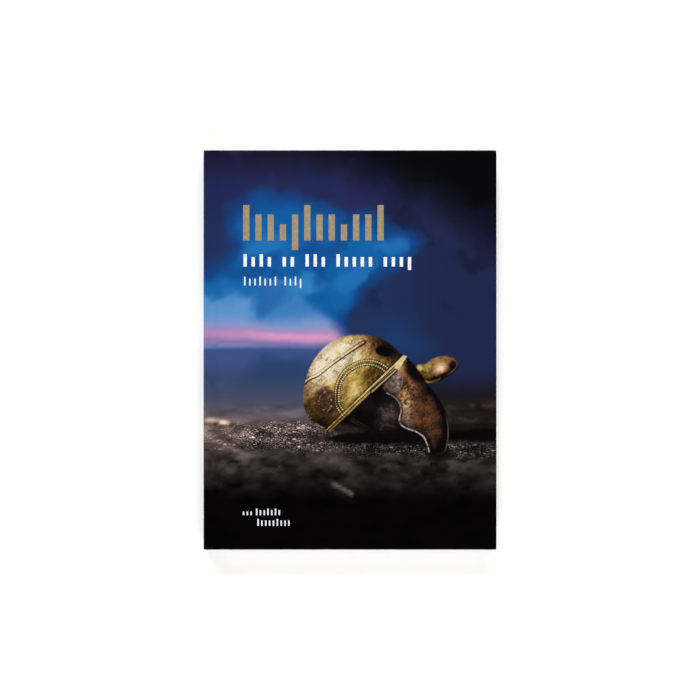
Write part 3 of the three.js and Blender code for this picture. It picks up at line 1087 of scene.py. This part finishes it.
def band_cloth():
    """Woven silk-look cloth in two colours, wound over a core."""
    nodes = Nodes("band_cloth")
    thread = nodes.stored("thread", "Fac")
    strands = nodes.noise(nodes.scaled(nodes.here(), (1.0, 1.0, 0.2)), 4000.0, 3.0, 0.6)
    cream = nodes.mixed(nodes.step(strands, 0.3, 0.7), ink(196, 184, 150), ink(232, 224, 198))
    blue = nodes.mixed(nodes.step(strands, 0.3, 0.7), ink(24, 36, 84), ink(52, 70, 128))
    nodes.bump(strands, 0.4, 0.03)
    nodes.shader.inputs["Sheen Weight"].default_value = 0.3
    return nodes.finish(nodes.mixed(nodes.step(thread, 0.45, 0.55), cream, blue), 0.6, 0.3)


# ---------------------------------------------------------------- the case

PAPER = printed_paper()
GOLD = foil("gold_ink", ink(168, 150, 118), ink(150, 132, 102))
WHITE = foil("white_ink", ink(250, 252, 252), ink(226, 232, 238))
LEAF = leaf_paper()
END = end_paper()
BAND = band_cloth()

# The front cover's map, in shares of the square that it fills: the face stands at its bottom left,
# then come four strips for the edges, and the inside at the right.
MAP_CORNER = (0.01, 0.02)
MAP_FACE_HEIGHT = 0.96
MAP_STRIPS = (0.70, 0.74, 0.78, 0.82)
MAP_STRIP_SHRINK = 0.94
MAP_STRIP_MARGIN = 8.0
MAP_INSIDE_CORNER = (0.87, 0.02)
MAP_INSIDE_SHRINK = 0.44

SPINE_ARC_STEPS = 6
SPINE_STEP = 1.8

# The groove paper runs a little way under the spine's paper and the board's, and a hair below them.
GROOVE_UNDER_SPINE = 0.7
GROOVE_UNDER_BOARD = 0.75
GROOVE_BELOW = 0.015
GROOVE_SQUARENESS = 0.8
GROOVE_STEPS = 48
GROOVE_END_GAP = 0.06
GROOVE_END_ROUNDING = 0.2


def front_map(piece, points, faces, sheet, ring, shape):
    """The map that the front cover's picture is baked through: the face big, edges and inside small."""
    columns, rows = shape
    per_mm = MAP_FACE_HEIGHT / (TOP_FACE[3] - TOP_FACE[1])
    corners = np.concatenate([np.asarray(face) for face in faces])
    place = MAP_CORNER + (sheet[corners] - TOP_FACE[:2]) * per_mm

    face_count = (columns - 1) * (rows - 1)
    first = face_count * 4
    edges = corners[first:first + (len(faces) - 1 - face_count) * 4].reshape(-1, 4)
    number = np.arange(len(edges)) % len(ring)
    sides = np.searchsorted(np.cumsum([columns - 1, rows - 1] * 2), number, side="right")
    for side, strip in enumerate(MAP_STRIPS):
        axis = side % 2
        chosen = np.flatnonzero(sides == side)
        at = sheet[edges[chosen]]
        u = strip + np.abs(at[..., 1 - axis] - TOP_FACE[(side + 1) % 4]) * per_mm
        v = MAP_CORNER[1] + (at[..., axis] - TOP_FACE[axis] + MAP_STRIP_MARGIN) * per_mm * MAP_STRIP_SHRINK
        place[first + chosen[:, None] * 4 + np.arange(4)] = np.stack([u, v], axis=-1)

    inner = first + edges.size
    inside_mm = points[corners[inner:], :2] - TOP_FACE[:2]
    place[inner:] = MAP_INSIDE_CORNER + inside_mm * per_mm * MAP_INSIDE_SHRINK
    layer = piece.data.uv_layers.new(name="OFBake")
    layer.data.foreach_set("uv", place.astype(np.float32).ravel())


def on_back(flat):
    """The places on the flat sheet of points on the back: the sheet runs on round the spine."""
    return np.column_stack([2.0 * SPINE_X - TOP - flat[:, 0], flat[:, 1]])


def front_cover():
    """The front board in its paper, with the finest grid where the helmet is painted."""
    xs = grid_lines(TOP_FACE[0], TOP_FACE[2], PICTURE_STEP, HELMET_BOX[0], HELMET_BOX[2], HELMET_STEP)
    ys = grid_lines(TOP_FACE[1], TOP_FACE[3], PICTURE_STEP, HELMET_BOX[1], HELMET_BOX[3], HELMET_STEP)
    high = FRONT_HIGH - (0.0, 0.0, INK_THICKNESS)
    points, faces, sheet, ring = covered_board(FRONT_LOW, high, xs, ys, 1)
    piece = make_piece("front_cover_paper", points, faces, PAPER)
    face = paint_picture(*np.meshgrid(xs, ys)).reshape(-1, 4)
    rest = sheet[len(face):]
    print_on(piece, sheet, np.concatenate([face, paint_background(rest[:, 0], rest[:, 1])]))
    front_map(piece, points, faces, sheet, ring, (len(xs), len(ys)))
    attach(piece, "front_cover")
    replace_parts(piece, "front_board")


def back_cover():
    """The back board in its paper, which lies on the floor."""
    xs = grid_lines(BACK_LOW[0] + EDGE_ROUNDING, BACK_HIGH[0] - EDGE_ROUNDING, CASE_STEP)
    ys = grid_lines(BACK_LOW[1] + EDGE_ROUNDING, BACK_HIGH[1] - EDGE_ROUNDING, CASE_STEP)
    points, faces, flat, _ = covered_board(BACK_LOW, BACK_HIGH, xs, ys, -1)
    piece = make_piece("back_cover_paper", points, faces, PAPER)
    print_on(piece, on_back(flat))
    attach(piece, "book")
    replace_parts(piece, "back_board")


def spine_profile():
    """The spine board's outline in x and z, from its inner top corner round the outside."""
    inner = SPINE_HIGH[0]
    bottom = SPINE_LOW[2]
    top = SPINE_HIGH[2] - INK_THICKNESS
    corners = (
        (inner - EDGE_ROUNDING, top - EDGE_ROUNDING, EDGE_ROUNDING, 0.0),
        (SPINE_X + SPINE_ROUNDING, top - SPINE_ROUNDING, SPINE_ROUNDING, 90.0),
        (SPINE_X + SPINE_ROUNDING, bottom + SPINE_ROUNDING, SPINE_ROUNDING, 180.0),
        (inner - EDGE_ROUNDING, bottom + EDGE_ROUNDING, EDGE_ROUNDING, 270.0),
    )
    profile = []
    for x, z, radius, start in corners:
        for angle in np.radians(start + np.linspace(0.0, 90.0, SPINE_ARC_STEPS + 1)):
            profile.append((x + radius * math.cos(angle), z + radius * math.sin(angle)))
    dense = []
    for here, after in zip(profile, profile[1:] + profile[:1]):
        count = max(1, round(math.dist(here, after) / SPINE_STEP))
        dense.append(np.linspace(here, after, count, endpoint=False))
    return np.concatenate(dense)


def spine():
    """The spine board in its paper."""
    profile = spine_profile()
    stations = rounded_stations(SPINE_LOW[1], SPINE_HIGH[1], CASE_STEP, EDGE_ROUNDING)
    points, faces = sweep(profile, stations)
    piece = make_piece("spine_paper", points, faces, PAPER)
    lengths = np.concatenate([[0.0], np.cumsum(np.linalg.norm(np.diff(profile, axis=0), axis=1))])
    sheet_x = SPINE_HIGH[0] - np.tile(lengths, len(stations))
    print_on(piece, np.column_stack([sheet_x, points[:, 1]]))
    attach(piece, "book")
    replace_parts(piece, "spine_board")


def groove_profile():
    """The groove paper's closed outline in x and z for the front cover."""
    share = np.linspace(0.0, 1.0, GROOVE_STEPS + 1)
    start = GROOVE_LOW[0] - GROOVE_UNDER_SPINE
    end = GROOVE_HIGH[0] + GROOVE_UNDER_BOARD
    depth = GROOVE_DIP * (0.5 - 0.5 * np.cos(2.0 * np.pi * share)) ** GROOVE_SQUARENESS
    outer = np.column_stack([start + (end - start) * share, TOP - INK_THICKNESS - GROOVE_BELOW - depth])
    return np.concatenate([outer, outer[::-1] - (0.0, GROOVE_PAPER)])


def grooves():
    """The free covering paper of both grooves. The back one goes with the book; the front one is put on no
    body.
    """
    tail = TAIL_Y + GROOVE_END_GAP
    head = HEAD_Y - GROOVE_END_GAP
    stations = rounded_stations(tail, head, CASE_STEP, GROOVE_END_ROUNDING)
    points, faces = sweep(groove_profile(), stations)
    front = make_piece("front_groove_paper", points, faces, PAPER)
    print_on(front, points[:, :2])
    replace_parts(front, "front_joint")
    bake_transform(front)
    under = points * (1.0, 1.0, -1.0) + (0.0, 0.0, TOP)
    flipped = [face[::-1] for face in faces]
    back = make_piece("back_groove_paper", under, flipped, PAPER)
    print_on(back, on_back(points))
    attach(back, "book")
    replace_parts(back, "back_joint")


# ---------------------------------------------------------------- strokes in place of lettering

# How far a dipping stroke reaches below its row, as a share of the row's height.
STROKE_DIP = 0.36


def stroke(low, high, level):
    """The points of one flat stroke with softened top edges, from its lowest to its highest corner."""
    soft = INK_THICKNESS * 0.5
    points = []
    for z, inset in ((level - INK_THICKNESS, 0.0), (level - soft, 0.0), (level, soft)):
        x0, y0 = low[0] + inset, low[1] + inset
        x1, y1 = high[0] - inset, high[1] - inset
        points += [(x0, y0, z), (x1, y0, z), (x1, y1, z), (x0, y1, z)]
    return points


def stroke_row(name, material, left, base, height, groups, width, pitch, word_gap):
    """A row of upright strokes in groups. Each share is a stroke's height, and one below 0 dips too."""
    points, faces = [], []
    x = left
    for group in groups:
        for share in group:
            low = base - (STROKE_DIP * height if share < 0.0 else 0.0)
            faces += bar_faces(4, 3, len(points))
            points += stroke((x, low), (x + width, base + height * abs(share)), TOP)
            x += pitch
        x += word_gap
    piece = make_piece(name, points, faces, material, smooth=False)
    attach(piece, "front_cover")


def cover_strokes():
    """The rows of strokes, in the places, sizes and colours of the cover's four texts."""
    stroke_row("title_strokes", GOLD, -72.2, 74.0, 17.6,
               [(1.36, 1.0, 1.0, 0.62, -1.0, 1.36, 1.0, 1.0, 0.62, 1.0, 1.0, 1.36)], 4.2, 8.25, 0.0)
    stroke_row("subtitle_strokes", WHITE, -72.0, 56.4, 6.4,
               [(1.3, 1.0, 1.3, 1.0), (1.0, 1.0), (1.3, 1.3, 1.0), (1.3, 1.0, 1.0, 1.0, 1.0),
                (1.0, 1.0, 1.0, -1.0)],
               2.3, 5.45, 4.6)
    stroke_row("name_strokes", WHITE, -71.6, 43.6, 4.6,
               [(1.3, 1.0, 1.0, 1.3, 1.0, 1.0, 1.3), (1.3, 1.0, 1.3, -1.0)], 1.0, 3.45, 3.2)
    stroke_row("mark_strokes_upper", WHITE, -72.4, -111.6, 3.4,
               [(0.7, 0.7, 0.7), (1.3, 1.0, 1.0, 1.3, 1.0, 1.3, 1.0)], 0.95, 2.55, 1.2)
    stroke_row("mark_strokes_lower", WHITE, -62.6, -118.8, 3.6,
               [(1.3, 1.0, 1.0, 1.0, 1.0, 1.3, 1.0, 1.0, 1.0)], 0.95, 2.6, 0.0)


# ---------------------------------------------------------------- leaves, endpapers and bands

# How unevenly the leaves are cut, and how much of each leaf's room its paper fills.
SECTION_SCATTER = 0.05
LEAF_SCATTER = 0.035
MOST_SCATTER = 0.16
LEAF_INSET = 0.18
LEAF_FILL = 0.80
LAST_LEAF_FILL = 0.62
LEAF_EDGE_STEPS = (14, 28)
BLOCK_SPINE_INSET = 0.05
BLOCK_SPINE_ROUNDING = 1.0
SECTION_TINT = 0.37

# The endpapers' folds run from just inside the loose half's edge to just inside the glued half's.
ENDPAPER_INSET = 0.04
ENDPAPER_WAVE = 0.03
FOLD_STEPS = 24
FOLD_START = 0.2
FOLD_END = 1.5
FOLD_END_GAP = 0.05

# The bands: a bead of cloth round most of a circle, with a swelling for each thread.
BAND_GAP = 0.05
BAND_ANGLES = np.radians(np.linspace(-14.0, 194.0, 15))
STEPS_PER_THREAD = 6
THREADS_PER_COLOUR = 3
THREAD_BED = 0.12
THREAD_SWELL = 0.10


def leaves():
    """The sewn leaves, in sections, each leaf cut a hair unevenly."""
    chance = np.random.default_rng(SEED)
    pitch = (BLOCK_HIGH[2] - BLOCK_LOW[2]) / LEAF_COUNT
    end_steps, side_steps = LEAF_EDGE_STEPS
    points, faces, numbers = [], [], []
    for leaf in range(LEAF_COUNT):
        section, in_section = divmod(leaf, LEAVES_PER_SECTION)
        if in_section == 0:
            shift = chance.normal(0.0, SECTION_SCATTER, 3)
        ragged = shift + chance.normal(0.0, LEAF_SCATTER, 3)
        fore, head, tail = -LEAF_INSET + np.clip(ragged, -MOST_SCATTER, MOST_SCATTER)
        bottom = BLOCK_LOW[2] + leaf * pitch
        top = bottom + pitch * (LEAF_FILL if in_section < LEAVES_PER_SECTION - 1 else LAST_LEAF_FILL)
        middle = (bottom + top) / 2.0
        from_face = min(middle - BLOCK_LOW[2], BLOCK_HIGH[2] - middle, BLOCK_SPINE_ROUNDING)
        rise = BLOCK_SPINE_ROUNDING - from_face
        drawn_in = BLOCK_SPINE_ROUNDING - math.sqrt(BLOCK_SPINE_ROUNDING**2 - rise**2)
        x0 = BLOCK_LOW[0] + BLOCK_SPINE_INSET + drawn_in
        x1 = BLOCK_HIGH[0] + fore
        y0 = BLOCK_LOW[1] - tail
        y1 = BLOCK_HIGH[1] + head
        across = np.linspace(x0, x1, end_steps + 1)
        along = np.linspace(y0, y1, side_steps + 1)
        outline = [(x, y0) for x in across[:-1]] + [(x1, y) for y in along[:-1]]
        outline += [(x, y1) for x in across[:0:-1]] + [(x0, y1), (x0, y0 + 1e-3)]
        faces += bar_faces(len(outline), 2, len(points))
        points += [(x, y, z) for z in (bottom, top) for x, y in outline]
        numbers += [leaf + SECTION_TINT * section] * (2 * len(outline))
    piece = make_piece("leaves", points, faces, LEAF, smooth=False)
    store(piece.data, "leaf", "FLOAT", numbers)
    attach(piece, "book")
    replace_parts(piece, "text_block")


def sheet_piece(name, box, body, node):
    """A flat endpaper half that fills its solid, a little uneven, as glued or loose paper is."""
    low, high = box
    flat, ring, quads = grid(*(grid_lines(low[axis], high[axis], ENDPAPER_STEP) for axis in (0, 1)))
    wave = ENDPAPER_WAVE * noise(flat[:, 0], flat[:, 1], 40.0, 3, 601)
    top = np.column_stack([flat, high[2] - ENDPAPER_INSET + wave])
    under = np.column_stack([flat, low[2] + ENDPAPER_INSET + wave])
    faces = np.concatenate([quads, quads[:, ::-1] + len(flat), belt(ring, ring + len(flat))]).tolist()
    piece = make_piece(name, np.concatenate([top, under]), faces, END, smooth=False)
    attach(piece, body)
    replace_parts(piece, node)


def endpaper_fold(name, flyleaf, pastedown, bends):
    """The folded stretch of an endpaper, from the loose half to the half on the board."""
    start = flyleaf[0][0] + FOLD_START
    end = pastedown[0][0] + FOLD_END
    share = np.linspace(0.0, 1.0, FOLD_STEPS + 1)
    z0, z1 = ((low[2] + high[2]) / 2.0 for low, high in (flyleaf, pastedown))
    middle = np.column_stack([start + (end - start) * share, mix_value(z0, z1, smooth(0.0, 1.0, share))])
    half = (0.0, FOLD_THICKNESS / 2.0)
    low_y, high_y = flyleaf[0][1] + FOLD_END_GAP, flyleaf[1][1] - FOLD_END_GAP
    stations = [(place, 0.0) for place in grid_lines(low_y, high_y, ENDPAPER_STEP)]
    points, faces = sweep(np.concatenate([middle + half, (middle - half)[::-1]]), stations)
    piece = make_piece(name, points, faces, END)
    if bends:
        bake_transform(piece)
    else:
        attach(piece, "book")


def band(name, box, body_end):
    """A bead of cloth wound over a core, its threads side by side and changing colour in turn.

    body_end is 1 at the head and -1 at the tail.
    """
    low, high = box
    middle_x = (low[0] + high[0]) / 2.0
    radius = (high[0] - low[0]) / 2.0 - BAND_GAP
    foot_y = low[1] if body_end > 0 else high[1]
    stations = round((high[2] - low[2]) / THREAD_PITCH) * STEPS_PER_THREAD + 1
    points, colours = [], []
    for station, z in enumerate(np.linspace(low[2] + BAND_GAP, high[2] - BAND_GAP, stations)):
        thread, step = divmod(station, STEPS_PER_THREAD)
        bulge = math.sqrt(1.0 - (2.0 * step / STEPS_PER_THREAD - 1.0) ** 2)
        reach = radius - THREAD_BED + THREAD_SWELL * bulge
        for angle in BAND_ANGLES:
            x = middle_x + reach * math.cos(angle)
            y = foot_y + body_end * reach * math.sin(angle)
            points.append((x, y, z))
            colours.append(float(thread % (2 * THREADS_PER_COLOUR) < THREADS_PER_COLOUR))
    faces = bar_faces(len(BAND_ANGLES), stations, inside_out=body_end < 0)
    piece = make_piece(name, points, faces, BAND)
    store(piece.data, "thread", "FLOAT", colours)
    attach(piece, "book")
    return piece


def inside():
    """Everything within the case."""
    leaves()
    sheet_piece("front_flyleaf_sheet", FRONT_FLYLEAF, "book", "front_flyleaf")
    sheet_piece("back_flyleaf_sheet", BACK_FLYLEAF, "book", "back_flyleaf")
    sheet_piece("front_pastedown_sheet", FRONT_PASTEDOWN, "front_cover", "front_pastedown")
    sheet_piece("back_pastedown_sheet", BACK_PASTEDOWN, "book", "back_pastedown")
    endpaper_fold("front_endpaper_fold", FRONT_FLYLEAF, FRONT_PASTEDOWN, True)
    endpaper_fold("back_endpaper_fold", BACK_FLYLEAF, BACK_PASTEDOWN, False)
    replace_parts(band("headband_cloth", HEADBAND, 1), "headband")
    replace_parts(band("tailband_cloth", TAILBAND, -1), "tailband")


# ---------------------------------------------------------------- floor, light and camera

# Lengths here are in metres. The cover's width is a share of the width that the camera sees.
CAMERA_HEIGHT = 3.0
COVER_SHARE = 0.4185714
FLOOR_HALF = 6.0
FLOOR_DROP = 0.0002
# How strongly the floor glows: painted light that pales the shadows round the book.
FLOOR_GLOW = 0.30
LAMP_DISTANCE = 1.5
LAMP_SIZE = (1.2, 0.7)

# Each lamp's name, its azimuth and elevation in degrees, and its power in watts.
LAMPS = (("lamp_head", 98.0, 50.0, 15.6), ("lamp_tail", -86.0, 50.0, 13.4))

# The sky's brightness falls between two heights, from its value low down to its value overhead.
SKY_FADE = (0.15, 0.85, 0.6, 0.03)


def floor():
    """A plain pale floor, a hair below the book. It glows a little, which pales the shadows that fall on it.
    """
    corners = [(x * FLOOR_HALF, y * FLOOR_HALF, 0.0) for x, y in ((-1, -1), (1, -1), (1, 1), (-1, 1))]
    mesh = bpy.data.meshes.new("floor")
    mesh.from_pydata(corners, [], [(0, 1, 2, 3)])
    nodes = Nodes("floor")
    # Painted light: the floor glows white, so the book's shadows on it come out paler.
    nodes.shader.inputs["Emission Color"].default_value = (1.0, 1.0, 1.0, 1.0)
    nodes.shader.inputs["Emission Strength"].default_value = FLOOR_GLOW
    dust = nodes.step(nodes.noise(nodes.here(), 3.0, 2.0), 0.3, 0.7)
    colour = nodes.mixed(dust, ink(244, 244, 244), ink(248, 248, 248))
    mesh.materials.append(nodes.finish(colour, 0.9, 0.1))
    plane = bpy.data.objects.new("floor", mesh)
    plane.location.z = -FLOOR_DROP
    bpy.context.scene.collection.objects.link(plane)


def lights():
    """A pale sky, and two wide soft lamps past the head and the tail, where the flat cover doesn't
    mirror them into the camera.
    """
    for name, azimuth, elevation, power in LAMPS:
        data = bpy.data.lights.new(name, "AREA")
        data.shape = "RECTANGLE"
        data.size, data.size_y = LAMP_SIZE
        data.energy = power
        lamp = bpy.data.objects.new(name, data)
        around, up = math.radians(azimuth), math.radians(elevation)
        lamp.location = (
            LAMP_DISTANCE * math.cos(around) * math.cos(up),
            LAMP_DISTANCE * math.sin(around) * math.cos(up),
            LAMP_DISTANCE * math.sin(up),
        )
        lamp.rotation_euler = (-lamp.location).to_track_quat("-Z", "Y").to_euler()
        bpy.context.scene.collection.objects.link(lamp)

    world = bpy.data.worlds.new("studio")
    world.use_nodes = True
    tree = world.node_tree
    tree.nodes.clear()
    place = tree.nodes.new("ShaderNodeTexCoord")
    parts = tree.nodes.new("ShaderNodeSeparateXYZ")
    tree.links.new(place.outputs["Generated"], parts.inputs[0])
    fade = tree.nodes.new("ShaderNodeMapRange")
    fade.interpolation_type = "SMOOTHSTEP"
    for socket, value in zip(list(fade.inputs)[1:5], SKY_FADE):
        socket.default_value = value
    tree.links.new(parts.outputs[2], fade.inputs[0])
    background = tree.nodes.new("ShaderNodeBackground")
    background.inputs["Color"].default_value = (1.0, 1.0, 1.0, 1.0)
    tree.links.new(fade.outputs[0], background.inputs["Strength"])
    output = tree.nodes.new("ShaderNodeOutputWorld")
    tree.links.new(background.outputs[0], output.inputs[0])
    bpy.context.scene.world = world


def camera():
    """Straight above the book, far off with a long lens, so that the cover shows square on."""
    view_width = (FORE_EDGE_X - SPINE_X) * MM / COVER_SHARE
    data = bpy.data.cameras.new("camera")
    data.sensor_width = 36.0
    data.clip_end = 50.0
    data.lens = data.sensor_width * CAMERA_HEIGHT / view_width
    eye = bpy.data.objects.new("camera", data)
    eye.location = (0.0, 0.0, CAMERA_HEIGHT + TOP * MM)
    bpy.context.scene.collection.objects.link(eye)
    bpy.context.scene.camera = eye


camera()
floor()
lights()
front_cover()
back_cover()
spine()
grooves()
cover_strokes()
inside()

bpy.context.scene.view_settings.view_transform = "Standard"
